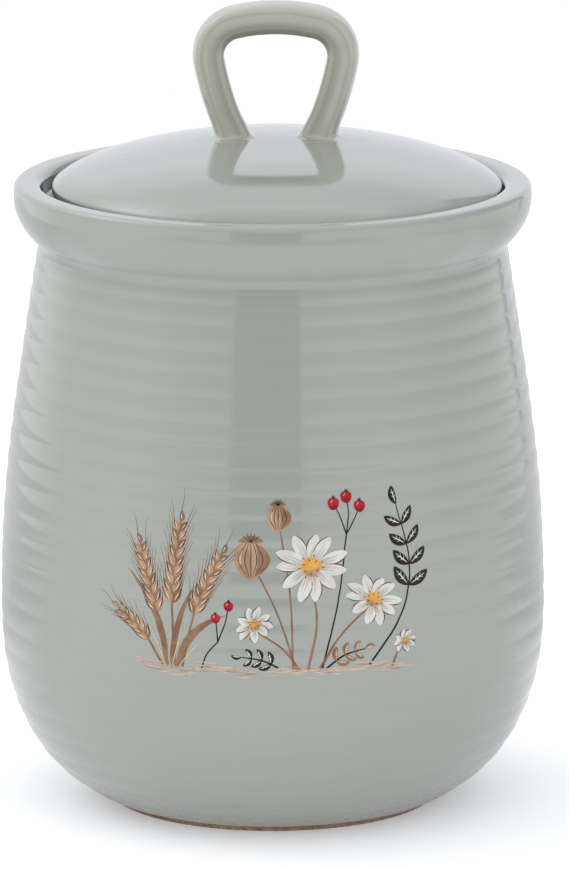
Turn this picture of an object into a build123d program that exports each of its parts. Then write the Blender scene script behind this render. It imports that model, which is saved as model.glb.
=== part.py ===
"""Stoneware biscuit jar: a ringed body with a collar, a loose domed lid and a fluted loop handle.

Millimetres, +Z up. The origin is on the jar's axis, on the table that the foot ring stands on.
"""

import os
from math import acos, cos, degrees, radians, sin

from build123d import *

# Body: heights above the table
foot_r = 46.0  # outer edge of the foot ring
foot_width = 5.0
foot_round = 0.8
foot_recess = 1.8  # how far the underside stands clear of the table
foot_slope = 27.0  # degrees at which the belly leaves the foot
heel_out, heel_z = 14.2, 10.0  # from the foot's edge
turn_in, turn_z = 3.65, 29.4  # from the belly, where the bottom has turned up into the wall
belly_r, belly_z = 76.05, 62.5  # widest groove
flank_in, flank_z = 1.55, 92.0  # from the belly
shoulder_out, shoulder_z = 4.05, 130.2  # from the neck
neck_z = 156.6  # crease under the collar
neck_lean = 9.0  # degrees by which the wall leans inward at the neck
wall = 5.0
floor_thick = 6.0

# Throwing rings: rounded ridges between grooves that lie on the belly's curve
ring_top = 4.1  # first groove, along the wall from the neck
ring_pitch = 6.35  # uppermost ring
ring_growth = 0.054  # added to each ring below it
ring_wander = 0.35  # how far a groove strays up or down
ring_rise = 0.3

# Collar, land and gallery
land_z = 175.2  # flat top of the collar
land_width = 3.3
gallery_r = 64.05  # wall that stands round the lid
gallery_lip = 2.9  # rounding of the gallery's edge
collar_lip = 1.85  # rounding of the collar's outer edge
collar_side_height = 2.45  # upright part of the collar's flank
collar_overhang = 6.7  # from the neck to the collar's flank
collar_hollow = 3.2  # height of the hollow between the neck and the collar
ledge_drop = 6.0  # ledge below the land
ledge_width = 6.55
ledge_thick = 3.0
ledge_round = 1.4
ledge_haunch = 7.0  # height over which the ledge runs back into the neck's wall

# Lid: heights above the land
lid_clearance = 1.43  # radial gap when the lid lies centred in the gallery
lid_near_gap = 0.25  # gap left on the +X side, where the lid has slid to
seat_gap = 0.1  # glaze between the lid's seat and the ledge
dome_rise = 12.8
crown_in = 21.12  # how far in from the edge the level top pulls the dome's curve
dome_edge = 3.1  # how far up the upright edge pulls it
rim_z = -1.3  # the lid's widest line
rim_round = 3.0
dome_wall = 5.5
flange_clearance = 2.0
flange_depth = 8.0
flange_thick = 4.0

# Handle: a strap bent into a loop across the dome, in the XZ plane
handle_shift = -0.3  # from the lid's centre
handle_rise = 37.4  # top of the loop above the dome
strap_thick = 8.7
strap_depth = 10.6
strap_turn = 6.5  # degrees by which the outer face is turned to the front at the middle of the grip
strap_twist = 4.0  # turned so much more at the right foot, and less at the left
grip_bow = 50.3  # radius of the arched grip
grip_turn = 13.2  # degrees from the middle of the grip to each end
corner_r = 9.35
leg_turn = 100.5  # degrees from the middle of the grip to the top of each leg
leg_bow = 86.0  # radius of the slight bow of each leg
foot_widening = 2.1  # by how much the strap is wider where it is luted on
foot_spread = 9.0  # length of leg over which it widens
foot_sink = 3.0  # how far the strap's centre line runs below the top of the dome
face_width = 6.4  # outer and inner face, between the rounded edges
face_crown = 0.3
edge_round = 0.5  # bulge of the rounded edges
flute_depth = 0.4
flute_out, flute_in = 2.2, 6.1  # flutes, from the strap's outer face

collar_r = gallery_r + gallery_lip + land_width + collar_lip
neck_r = collar_r - collar_overhang
heel_r = foot_r + heel_out
turn_r = belly_r - turn_in
flank_r = belly_r - flank_in
shoulder_r = neck_r + shoulder_out
ledge_r = gallery_r - ledge_width
lid_r = gallery_r - lid_clearance
lid_shift = lid_clearance - lid_near_gap
crown_r = lid_r - crown_in
flange_r = ledge_r - flange_clearance
seat_z = seat_gap - ledge_drop
lid_plane = Plane((lid_shift, 0, land_z), x_dir=(1, 0, 0), z_dir=(0, -1, 0))
lid_axis = Axis((lid_shift, 0, 0), (0, 0, 1))
handle_plane = Plane(lid_plane.origin + (handle_shift, 0, dome_rise), x_dir=(1, 0, 0), z_dir=(0, -1, 0))
grip_drop = grip_bow * (1 - cos(radians(grip_turn)))
corner_drop = corner_r * (cos(radians(grip_turn)) - cos(radians(leg_turn)))
leg_drop = handle_rise - strap_thick / 2 - grip_drop - corner_drop + foot_sink


def foot_ring():
    """Underside, from the axis to the outer edge of the foot ring."""
    inner = foot_r - foot_width
    underside = FilletPolyline(
        (0, foot_recess),
        (inner - foot_recess, foot_recess),
        (inner, 0),
        (foot_r - foot_round, 0),
        radius=foot_round,
    )
    return TangentArc(underside @ 1, (foot_r, foot_round), tangent=(1, 0))


def ringed_belly(foot_edge):
    """Outer wall: ridges bulging between grooves on one smooth curve, from neck to foot."""
    lean, slope = radians(neck_lean), radians(foot_slope)
    curve = Spline(
        (neck_r, neck_z),
        (shoulder_r, shoulder_z),
        (flank_r, flank_z),
        (belly_r, belly_z),
        (turn_r, turn_z),
        (heel_r, heel_z),
        foot_edge,
        tangents=((sin(lean), -cos(lean)), (-cos(slope), -sin(slope))),
        mode=Mode.PRIVATE,
    )
    grooves = [curve @ 0]
    down, pitch = ring_top, ring_pitch
    while down < curve.length - 1.5 * pitch:
        stray = ring_wander * sin(2.4 * len(grooves))
        grooves.append(curve.position_at(down + stray, position_mode=PositionMode.LENGTH))
        down, pitch = down + pitch, pitch + ring_growth
    grooves.append(curve @ 1)
    for upper, lower in zip(grooves, grooves[1:]):
        SagittaArc(upper, lower, ring_rise)
    return grooves[0]


def collar(neck):
    """Hollow over the neck, the collar and its flat land, to the top of the gallery wall."""
    flank_end = (collar_r, land_z - collar_lip - collar_side_height)
    hollow = TangentArc(neck, neck + (0.45 * collar_hollow, collar_hollow), tangent=(0, 1))
    flank = Spline(hollow @ 1, flank_end, tangents=(hollow % 1, (0, 1)))
    side = Line(flank @ 1, (collar_r, land_z - collar_lip))
    lip = TangentArc(side @ 1, (collar_r - collar_lip, land_z), tangent=(0, 1))
    land = Line(lip @ 1, (gallery_r + gallery_lip, land_z))
    return TangentArc(land @ 1, (gallery_r, land_z - gallery_lip), tangent=(-1, 0))


with BuildPart() as jar:
    with BuildSketch(Plane.XZ):
        with BuildLine():
            foot = foot_ring()
            neck = ringed_belly(foot @ 1)
            rim = collar(neck)
            ledge_z = land_z - ledge_drop
            gallery = FilletPolyline(
                rim @ 1,
                (gallery_r, ledge_z),
                (ledge_r, ledge_z),
                (ledge_r, ledge_z - ledge_thick),
                (neck_r - wall, ledge_z - ledge_thick - ledge_haunch),
                radius=ledge_round,
            )
            inside = Spline(
                gallery @ 1,
                (belly_r - wall, belly_z),
                (turn_r - wall, turn_z),
                (foot_r, foot_recess + floor_thick),
                tangents=((0, -1), (-1, 0)),
            )
            Line(inside @ 1, (0, foot_recess + floor_thick))
            Line((0, foot_recess + floor_thick), (0, foot_recess))
        make_face()
    revolve(axis=Axis.Z)
jar.part.label = "jar"


def dome():
    """Top of the lid, from its centre to its widest line."""
    return Bezier((0, dome_rise), (crown_r, dome_rise), (lid_r, rim_z + dome_edge), (lid_r, rim_z))


with BuildPart() as lid:
    with BuildSketch(lid_plane):
        with BuildLine():
            top = dome()
            upright = Line(top @ 1, (lid_r, seat_z + rim_round))
            rolled = TangentArc(upright @ 1, (lid_r - rim_round, seat_z), tangent=(0, -1))
            flange = FilletPolyline(
                rolled @ 1,
                (flange_r, seat_z),
                (flange_r, seat_z - flange_depth),
                (flange_r - flange_thick, seat_z - flange_depth),
                (flange_r - flange_thick, seat_z),
                radius=0.4 * flange_thick,
            )
            under_z = dome_rise - dome_wall
            under_edge = (flange_r - flange_thick, rim_z + dome_edge)
            Bezier(flange @ 1, under_edge, (crown_r, under_z), (0, under_z))
            Line((0, under_z), (0, dome_rise))
        make_face()
    revolve(axis=lid_axis)
lid.part.label = "lid"


def strap_outline(size):
    """Strap across its run: local X points out of the loop, local Y across its depth."""
    face_x = size * (strap_thick / 2 - face_crown)
    face_y = size * face_width / 2
    flute_y = size * (strap_depth / 2 - flute_depth)
    for side in (1, -1):
        SagittaArc((side * face_x, -face_y), (side * face_x, face_y), -side * size * face_crown)
        corners = (
            (face_x, side * face_y),
            (size * (strap_thick / 2 - flute_out), side * flute_y),
            (size * (strap_thick / 2 - flute_in), side * flute_y),
            (-face_x, side * face_y),
        )
        for start, end, rise in zip(corners, corners[1:], (edge_round, flute_depth, edge_round)):
            SagittaArc(start, end, -side * size * rise)


with BuildPart() as handle:
    with BuildLine(handle_plane) as loop:
        lean = degrees(acos(cos(radians(leg_turn)) - leg_drop / leg_bow))
        foot_x = (
            grip_bow * sin(radians(grip_turn))
            + corner_r * (sin(radians(leg_turn)) - sin(radians(grip_turn)))
            + leg_bow * (sin(radians(lean)) - sin(radians(leg_turn)))
        )
        run_up = (cos(radians(lean)), sin(radians(lean)))
        left_leg = JernArc((-foot_x, -foot_sink), run_up, leg_bow, leg_turn - lean)
        left_corner = JernArc(left_leg @ 1, left_leg % 1, corner_r, grip_turn - leg_turn)
        grip = JernArc(left_corner @ 1, left_corner % 1, grip_bow, -2 * grip_turn)
        right_corner = JernArc(grip @ 1, grip % 1, corner_r, grip_turn - leg_turn)
        JernArc(right_corner @ 1, right_corner % 1, leg_bow, leg_turn - lean)
    run = loop.wire()
    spread = foot_spread / run.length
    foot_size = 1 + foot_widening / strap_depth
    for place, size in ((0, foot_size), (spread, 1), (0.5, 1), (1 - spread, 1), (1, foot_size)):
        along = run % place
        section = Plane(run @ place, x_dir=along.cross(Vector(0, 1, 0)), z_dir=along)
        with BuildSketch(section.rotated((0, 0, strap_turn + strap_twist * (2 * place - 1)))):
            with BuildLine():
                strap_outline(size)
            make_face()
    sweep(path=run, multisection=True)
    with BuildSketch(lid_plane):
        with BuildLine():
            seat = dome()
            Polyline(seat @ 1, (lid_r, -flange_depth), (0, -flange_depth), (0, dome_rise))
        make_face()
    revolve(axis=lid_axis, mode=Mode.SUBTRACT)
handle.part.label = "handle"

os.makedirs("parts", exist_ok=True)
for piece in (jar, lid, handle):
    export_step(piece.part, f"parts/{piece.part.label}.step")
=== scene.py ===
"""Looks of a ringed stoneware biscuit jar: gloss sage glaze, bare foot, fired-on meadow print.

Lengths are millimetres and named turns are degrees, unless a comment says otherwise. Meshes are in metres.
"""

import math

import bpy
import numpy as np
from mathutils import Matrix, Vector
from mathutils.geometry import delaunay_2d_cdt


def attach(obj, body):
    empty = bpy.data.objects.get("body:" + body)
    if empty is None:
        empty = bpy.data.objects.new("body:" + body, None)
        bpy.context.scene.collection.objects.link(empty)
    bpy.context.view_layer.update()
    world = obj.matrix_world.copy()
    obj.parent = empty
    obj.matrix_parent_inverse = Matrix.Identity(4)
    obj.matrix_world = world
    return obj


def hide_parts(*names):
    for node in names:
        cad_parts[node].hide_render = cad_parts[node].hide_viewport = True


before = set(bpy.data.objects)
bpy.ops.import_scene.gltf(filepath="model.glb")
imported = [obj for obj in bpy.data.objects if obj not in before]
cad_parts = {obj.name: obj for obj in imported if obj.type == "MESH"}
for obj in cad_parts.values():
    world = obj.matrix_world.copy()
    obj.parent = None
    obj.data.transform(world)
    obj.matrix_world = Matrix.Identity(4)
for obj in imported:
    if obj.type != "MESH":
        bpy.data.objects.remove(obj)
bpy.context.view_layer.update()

MM = 0.001

# Body, as in the CAD solid: the wall's points are (radius, height)
NECK, SHOULDER, FLANK = (65.4, 156.6), (69.45, 130.2), (74.5, 92.0)
BELLY, TURN_IN, HEEL = (76.05, 62.5), (72.4, 29.4), (60.2, 10.0)
NECK_LEAN, FOOT_SLOPE = 9.0, 27.0
FOOT_R, FOOT_WIDTH, FOOT_ROUND, FOOT_RECESS = 46.0, 5.0, 0.8, 1.8
WALL, FLOOR_THICK = 5.0, 6.0
RING_TOP, RING_PITCH, RING_GROWTH, RING_WANDER, RING_RISE = 4.1, 6.35, 0.054, 0.35, 0.3
LAND_Z, COLLAR_R, COLLAR_LIP, COLLAR_SIDE, COLLAR_HOLLOW = 175.2, 72.1, 1.85, 4.3, 3.2
GALLERY_R, GALLERY_LIP, LEDGE_DROP, LEDGE_R, LEDGE_THICK = 64.05, 2.9, 6.0, 57.5, 3.0
LEDGE_ROUND, LEDGE_HAUNCH = 1.4, 7.0

# Lid and handle, as in the CAD solids; heights above the land
LID_R, LID_SHIFT = 62.62, 1.18
SEAT_Z = -5.9
DOME_RISE, DOME_CROWN, DOME_EDGE, RIM_Z, RIM_ROUND, DOME_WALL = 12.8, 41.5, 3.1, -1.3, 3.0, 5.5
FLANGE_R, FLANGE_DEPTH, FLANGE_THICK = 55.5, 8.0, 4.0
HANDLE_X = LID_SHIFT - 0.3
HANDLE_TOP = DOME_RISE + 37.3
STRAP_THICK, STRAP_DEPTH, STRAP_TURN, STRAP_TWIST = 8.7, 10.6, 6.5, 4.0
GRIP_BOW, GRIP_TURN, CORNER_R, LEG_TURN, LEG_BOW = 50.3, 13.2, 9.35, 100.5, 86.0
FOOT_WIDENING, FOOT_SPREAD, FOOT_SINK = 2.1, 9.0, 3.0
FACE_WIDTH, FACE_CROWN, EDGE_ROUND, FLUTE_DEPTH, FLUTE_OUT, FLUTE_IN = 6.4, 0.3, 0.5, 0.4, 2.2, 6.1

# Glaze on the wall
GLAZE_SOFTENS = 0.45  # length over which it rounds off a crease
RING_UNEVEN = 0.3  # share of its rise that a ring loses on its thinner side
RING_WIND, RING_DRIFT = 0.9, 0.31  # how fast the thinner side wanders from ring to ring
SWAY, SWAY_WIND = 0.12, 0.05  # the rings sway up and down by this much, and how fast that winds round upwards
SWAY_FROM, SWAY_EASE = 5, 20  # it begins at this height, and is full this much higher
SWAY_NECK = 10  # height under the neck over which it ends
DARK_FROM, DARK_EASE = 1.0, 3.0  # painted shade in the gallery under the lid: it begins this far under the land, and is full this much lower
WALL_BACK = 0.07  # it keeps this much inside the CAD wall, for its sway to stay in the CAD box

# Foot: bare clay below a wavy line where the glaze was wiped off
CLAY_TOP, CLAY_WAVE = 2.0, 0.3
CLAY_WAVES = ((5, 0.6, 1.1), (11, 0.3, 0.0), (23, 0.25, 2.0))  # waves round the foot, share, start in radians
CLAY_BELOW = 0.12  # how far the clay stands back from the CAD wall
CLAY_REACH, CLAY_SHELF = 2.0, 1.8  # how far it runs up under the glaze, and then inward
GLAZE_TUCK, TUCK_FADE = 0.35, (-0.45, 0.1)  # how far the glaze's edge curls in, and where, from the wavy line
UNDERSIDE_UP, UNDERSIDE_IN = 1.2, 1.5  # the glazed mesh closes this far above and inside the clay's underside

# Handle: glaze, painted shade and slip
GLAZE_FILLS = 0.3  # by how much the glaze levels out the flutes
RIDGES = (0.1, 0.1, 0.25, 1, 0.3, 0.3, 1, 0.25)  # how thin the glaze is at each corner of the strap's outline
FACE_DIP = 0.25  # and in the middle of a face
INNER_FROM = 1.5  # painted shade on the inside of the loop: it darkens inward from this far outside the strap's centre line
LEGS_LIGHTER = 0.75  # how much less painted shade lies down the inside of the legs than under the grip
LEGS_FROM, LEGS_FADE = 35, 50  # that begins at this turn from the grip's middle, and is full this much on
SLIP_REACH = 1.25  # how far the slip that joins a foot to the dome spreads
SLIP_WAVES = ((3, 0.22), (7, 0.16))  # waves of its edge round the foot, with their share of its reach
SLIP_START = 1.7  # height over the dome at which it takes over from the strap
SLIP_HOLLOW = 0.12  # share of its reach at which its hollow curve turns out
SLIP_OVER, SLIP_UNDER = 0.02, 0.5  # its edge lies this far over the dome, then dips this far under it
SLIP_STEPS = 8

# Print: the field on the front that it fills; the wall stands back by the print's thickness there
PRINT_LOW, PRINT_HIGH, PRINT_HALF_TURN = 42.0, 98.0, 44.0  # heights, and degrees to each side
PRINT_EASE, PRINT_EASE_TURN = 12, 14  # height and turn over which the wall comes out again round it
PRINT_RECESS = 0.17
INK_REST, INK_STEP = 0.02, 0.022  # the lowest ink over the glaze, and each ink over the one below
PRINT_R = 75.6  # radius that turns a distance along the wall into an angle
PRINT_SHIFT = (0.5, 6.5)  # from where it is drawn to where it lies
GRAIN = 0.5  # size of the facets that the ink is laid in

# Fineness of the meshes
ROUND_STEPS = 288
RING_STEPS = 14
WALL_FINE = 0.05  # step along the wall at which its relief is worked out


# Outlines in the (radius, height) plane

def line(start, end, step):
    return np.linspace(start, end, max(2, int(math.dist(start, end) / step) + 1))


def turned(x, y, angle):
    """Two coordinates turned anticlockwise by an angle in radians."""
    cos, sin = math.cos(angle), math.sin(angle)
    return x * cos - y * sin, x * sin + y * cos


def full_turn(steps):
    """Angles in even steps all the way round, in radians."""
    return np.arange(steps) * 2 * math.pi / steps


def unit_rows(rows):
    return rows / np.linalg.norm(rows, axis=1)[:, None]


def tangent_arc(start, end, direction, steps=8):
    """Arc that leaves start along direction and reaches end."""
    start, end = np.array((start, end), float)
    chord = end - start
    lean = math.atan2(direction[0] * chord[1] - direction[1] * chord[0], np.dot(direction, chord))
    length = np.linalg.norm(chord)
    points = []
    for share in np.linspace(0, 1, steps + 1):
        reach = length * math.sin(lean * share) / math.sin(lean)
        points.append(start + reach * np.array(turned(*chord / length, lean * (share - 1))))
    return np.array(points)


def rounded_path(corners, radius, steps=7):
    """Straight runs between corners, each inner corner rounded."""
    corners = np.array(corners, float)
    ways = unit_rows(np.diff(corners, axis=0))
    points = [corners[0]]
    for corner, come, leave in zip(corners[1:], ways, ways[1:]):
        back = radius * math.tan(math.acos(np.clip(np.dot(come, leave), -1, 1)) / 2)
        points.extend(tangent_arc(corner - back * come, corner + back * leave, come, steps))
    return np.array([*points, corners[-1]])


def spline(points, start_way, end_way, step):
    """Smooth curve through points that leaves and arrives along the given directions."""
    knots = np.array(points, float)
    spans = np.linalg.norm(np.diff(knots, axis=0), axis=1)
    slopes, system = np.zeros_like(knots), np.eye(len(knots))
    for end, way in ((0, start_way), (-1, end_way)):
        slopes[end] = np.array(way, float) / np.linalg.norm(way)
    for i in range(1, len(knots) - 1):
        left, right = spans[i - 1], spans[i]
        system[i, i - 1:i + 2] = right, 2 * (left + right), left
        slopes[i] = 3 * (right * (knots[i] - knots[i - 1]) / left + left * (knots[i + 1] - knots[i]) / right)
    slopes = np.linalg.solve(system, slopes)
    pieces = [knots[:1]]
    for i, span in enumerate(spans):
        t = np.linspace(0, 1, max(3, int(span / step) + 1))[1:, None]
        pieces.append(
            (2 * t**3 - 3 * t**2 + 1) * knots[i] + (t**3 - 2 * t**2 + t) * span * slopes[i]
            + (3 * t**2 - 2 * t**3) * knots[i + 1] + (t**3 - t**2) * span * slopes[i + 1]
        )
    return np.concatenate(pieces)


def bezier(corners, steps=60):
    t = np.linspace(0, 1, steps)[:, None]
    weights = ((1 - t)**3, 3 * t * (1 - t)**2, 3 * t**2 * (1 - t), t**3)
    return sum(w * np.array(c, float) for w, c in zip(weights, corners))


def lengths_along(path):
    return np.concatenate([[0], np.cumsum(np.linalg.norm(np.diff(path, axis=0), axis=1))])


def at_length(path, places):
    run = lengths_along(path)
    return np.stack([np.interp(places, run, path[:, k]) for k in range(path.shape[1])], axis=-1)


def groove_places(length):
    """Distances of the grooves along the wall, from the neck down."""
    places, down, pitch = [0.0], RING_TOP, RING_PITCH
    while down < length - 1.5 * pitch:
        places.append(down + RING_WANDER * math.sin(2.4 * len(places)))
        down, pitch = down + pitch, pitch + RING_GROWTH
    return np.array(places + [length])


def belly_outline():
    """Ringed outer wall from the foot up: points, ways out, relief (0 in a groove, 1 on a ridge)."""
    lean, slope = math.radians(NECK_LEAN), math.radians(FOOT_SLOPE)
    curve = spline(
        (NECK, SHOULDER, FLANK, BELLY, TURN_IN, HEEL, (FOOT_R, FOOT_ROUND)),
        (math.sin(lean), -math.cos(lean)),
        (-math.cos(slope), -math.sin(slope)),
        step=0.2,
    )
    grooves = groove_places(lengths_along(curve)[-1])
    places = np.arange(0, grooves[-1], WALL_FINE)
    ring = np.searchsorted(grooves, places, side="right") - 1
    share = (places - grooves[ring]) / (grooves[ring + 1] - grooves[ring])
    relief = 4 * share * (1 - share)
    reach = int(3 * GLAZE_SOFTENS / WALL_FINE)
    weights = np.exp(-0.5 * (np.arange(-reach, reach + 1) * WALL_FINE / GLAZE_SOFTENS) ** 2)
    relief = np.convolve(np.pad(relief, reach, mode="edge"), weights / weights.sum(), mode="valid")
    base = at_length(curve, places)
    along = unit_rows(np.gradient(base, axis=0))
    outward = np.stack([-along[:, 1], along[:, 0]], axis=-1)
    outward *= np.sign(outward[:, :1] + 1e-9)
    keep = np.linspace(0, len(places) - 1, RING_STEPS * (len(grooves) - 1)).astype(int)[::-1]
    return base[keep], outward[keep], relief[keep]


# Meshes

def new_mesh(name, points, faces):
    mesh = bpy.data.meshes.new(name)
    mesh.from_pydata([tuple(p) for p in points], [], faces)
    mesh.polygons.foreach_set("use_smooth", [True] * len(mesh.polygons))
    mesh.update()
    piece = bpy.data.objects.new(name, mesh)
    bpy.context.collection.objects.link(piece)
    return piece


def store(piece, name, values):
    """One value for each point of a piece, for its material to read."""
    layer = piece.data.attributes.new(name, "FLOAT", "POINT")
    layer.data.foreach_set("value", np.ravel(values).astype(np.float32))


def revolve(name, outline, radius_change=0.0, height_change=0.0, centre_x=0.0, base_z=0.0):
    """Turns an outline of (radius, height) points that starts and ends on the axis."""
    turn = full_turn(ROUND_STEPS)
    inner = outline[1:-1]
    rows = len(inner)
    radius = np.repeat(inner[:, :1], ROUND_STEPS, axis=1) + radius_change
    height = np.repeat(inner[:, 1:], ROUND_STEPS, axis=1) + height_change
    points = np.stack([centre_x + radius * np.cos(turn), radius * np.sin(turn), base_z + height], axis=-1)
    ends = [[centre_x, 0, base_z + outline[end, 1]] for end in (0, -1)]
    points = np.concatenate([points.reshape(-1, 3), ends]) * MM
    near = np.arange(ROUND_STEPS)
    far = (near + 1) % ROUND_STEPS
    faces = []
    for low in range(0, (rows - 1) * ROUND_STEPS, ROUND_STEPS):
        high = low + ROUND_STEPS
        faces.extend(np.stack([low + near, low + far, high + far, high + near], axis=-1).tolist())
    bottom = rows * ROUND_STEPS
    faces.extend([bottom, int(b), int(a)] for a, b in zip(near, far))
    last_row = bottom - ROUND_STEPS
    faces.extend([bottom + 1, int(last_row + a), int(last_row + b)] for a, b in zip(near, far))
    return new_mesh(name, points, faces)


# Body

def fade(value, low, high):
    """0 below low, 1 above high, with a soft change between them."""
    share = np.clip((value - low) / (high - low), 0, 1)
    return share * share * (3 - 2 * share)


def wall_rows(turn):
    """Outer wall from the foot up at each angle: radii and heights by row, and the rows' relief."""
    base, outward, relief = belly_outline()
    z = base[:, 1:]
    # Each ring is a little fuller on one side than on the other, as a potter's finger leaves it
    uneven = np.sin(turn + RING_WIND * z / RING_PITCH) * np.cos(2 * turn - RING_DRIFT * z / RING_PITCH)
    uneven = 0.5 + 0.5 * uneven
    from_front = np.degrees(np.abs((turn + 1.5 * math.pi) % (2 * math.pi) - math.pi))
    at_front = 1 - fade(from_front, PRINT_HALF_TURN, PRINT_HALF_TURN + PRINT_EASE_TURN)
    over_foot = fade(z, PRINT_LOW - PRINT_EASE, PRINT_LOW)
    under_top = 1 - fade(z, PRINT_HIGH, PRINT_HIGH + PRINT_EASE)
    recess = PRINT_RECESS * at_front * over_foot * under_top
    clay_line = CLAY_TOP + CLAY_WAVE * sum(share * np.sin(n * turn + start) for n, share, start in CLAY_WAVES)
    tuck = GLAZE_TUCK * (1 - fade(z, clay_line + TUCK_FADE[0], clay_line + TUCK_FADE[1]))
    rise = RING_RISE * relief[:, None] * (1 - RING_UNEVEN * uneven) - recess - tuck - WALL_BACK
    sway = SWAY * np.sin(turn + SWAY_WIND * z)
    sway = sway * np.clip((z - SWAY_FROM) / SWAY_EASE, 0, 1) * np.clip((NECK[1] - z) / SWAY_NECK, 0, 1)
    return base[:, :1] + outward[:, :1] * rise, z + outward[:, 1:] * rise + sway, relief


def make_jar():
    """Glazed body, inside and out. Its relief is its rings; its inner part, the gallery under the lid, gets
    painted shade.
    """
    wall_radius, wall_height, relief = wall_rows(full_turn(ROUND_STEPS))
    underside_z = FOOT_RECESS + UNDERSIDE_UP
    underside = line((0, underside_z), (FOOT_R - UNDERSIDE_IN, underside_z), 8)
    hollow = tangent_arc(NECK, (NECK[0] + 0.45 * COLLAR_HOLLOW, NECK[1] + COLLAR_HOLLOW), (0, 1))
    flank_end = (COLLAR_R, LAND_Z - COLLAR_SIDE)
    flank = spline((hollow[-1], flank_end), hollow[-1] - hollow[-2], (0, 1), step=0.7)
    lip = tangent_arc((COLLAR_R, LAND_Z - COLLAR_LIP), (COLLAR_R - COLLAR_LIP, LAND_Z), (0, 1), 12)
    land_end, gallery_top = (GALLERY_R + GALLERY_LIP, LAND_Z), (GALLERY_R, LAND_Z - GALLERY_LIP)
    gallery_lip = tangent_arc(land_end, gallery_top, (-1, 0), 12)
    ledge_z = LAND_Z - LEDGE_DROP
    haunch = (NECK[0] - WALL, ledge_z - LEDGE_THICK - LEDGE_HAUNCH)
    ledge_corners = ((GALLERY_R, ledge_z), (LEDGE_R, ledge_z), (LEDGE_R, ledge_z - LEDGE_THICK))
    ledge = rounded_path((gallery_lip[-1], *ledge_corners, haunch), LEDGE_ROUND)
    floor_z = FOOT_RECESS + FLOOR_THICK
    inside_points = (haunch, (BELLY[0] - WALL, BELLY[1]), (TURN_IN[0] - WALL, TURN_IN[1]), (FOOT_R, floor_z))
    inside = spline(inside_points, (0, -1), (-1, 0), step=3)
    floor = line(inside[-1], (0, floor_z), 8)
    wall = np.stack([wall_radius[:, 0], wall_height[:, 0]], axis=-1)
    outline = np.concatenate(
        [underside, wall, hollow[1:], flank[1:], lip, gallery_lip, ledge[1:], inside[1:], floor[1:]])
    # One row of points for each point of the outline but its two ends on the axis
    rows = len(outline) - 2
    wall_place = slice(len(underside) - 1, len(underside) - 1 + len(wall))
    radius_change, height_change = np.zeros((2, rows, ROUND_STEPS))
    radius_change[wall_place] = wall_radius - wall_radius[:, :1]
    height_change[wall_place] = wall_height - wall_height[:, :1]
    ring_relief = np.zeros(rows)
    ring_relief[wall_place] = relief
    row_r, row_z = outline[1:-1].T
    # Painted shade: the gallery wall and ledge under the lid darken towards the bottom
    gallery = (row_r < GALLERY_R + 0.5) * (row_z > haunch[1])
    gallery = gallery * np.clip((LAND_Z - DARK_FROM - row_z) / DARK_EASE, 0, 1)
    piece = revolve("jar_body", outline, radius_change, height_change)
    for name, values in (("relief", ring_relief), ("inner", gallery)):
        store(piece, name, np.append(np.repeat(values, ROUND_STEPS), [0, 0]))
    return piece


def make_foot():
    """Unglazed foot ring and underside, up to just above the glaze's edge."""
    inner_foot = FOOT_R - FOOT_WIDTH
    recess_end, ring_end = (inner_foot - FOOT_RECESS, FOOT_RECESS), (FOOT_R - FOOT_ROUND, 0)
    underside = rounded_path(((0, FOOT_RECESS), recess_end, (inner_foot, 0), ring_end), FOOT_ROUND)
    edge = tangent_arc(underside[-1], (FOOT_R, FOOT_ROUND), (1, 0))
    base, outward, _ = belly_outline()
    flank = (base - CLAY_BELOW * outward)[base[:, 1] < CLAY_TOP + CLAY_REACH]
    shelf = line(flank[-1] - (CLAY_SHELF, 0), (0, flank[-1][1]), 12)
    return revolve("jar_foot", np.concatenate([underside, edge[1:], flank[1:], shelf]))


# Lid

def dome_outline():
    return bezier(((0, DOME_RISE), (DOME_CROWN, DOME_RISE), (LID_R, RIM_Z + DOME_EDGE), (LID_R, RIM_Z)))


def make_lid():
    dome = dome_outline()
    upright = line(dome[-1], (LID_R, SEAT_Z + RIM_ROUND), 0.6)
    rolled = tangent_arc(upright[-1], (LID_R - RIM_ROUND, SEAT_Z), (0, -1), 10)
    inner, flange_z = FLANGE_R - FLANGE_THICK, SEAT_Z - FLANGE_DEPTH
    flange_corners = ((FLANGE_R, SEAT_Z), (FLANGE_R, flange_z), (inner, flange_z), (inner, SEAT_Z))
    flange = rounded_path((rolled[-1], *flange_corners), 0.4 * FLANGE_THICK)
    under_z = DOME_RISE - DOME_WALL
    under = bezier((flange[-1], (inner, RIM_Z + DOME_EDGE), (DOME_CROWN, under_z), (0, under_z)), 30)
    outline = np.concatenate([dome, upright[1:], rolled[1:], flange[1:], under[1:]])
    return revolve("lid_dome", outline[::-1], centre_x=LID_SHIFT, base_z=LAND_Z)


# Handle: the strap's outline is carried along the loop

def bulge(start, end, sagitta, steps=6):
    """Arc that bulges to the left of the way from start to end; the end itself is left out."""
    start, end = np.array((start, end), float)
    chord = end - start
    length = np.linalg.norm(chord)
    half_turn = math.copysign(2 * math.atan(2 * abs(sagitta) / length), sagitta)
    return tangent_arc(start, end, turned(*chord / length, half_turn), steps)[:-1]


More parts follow.
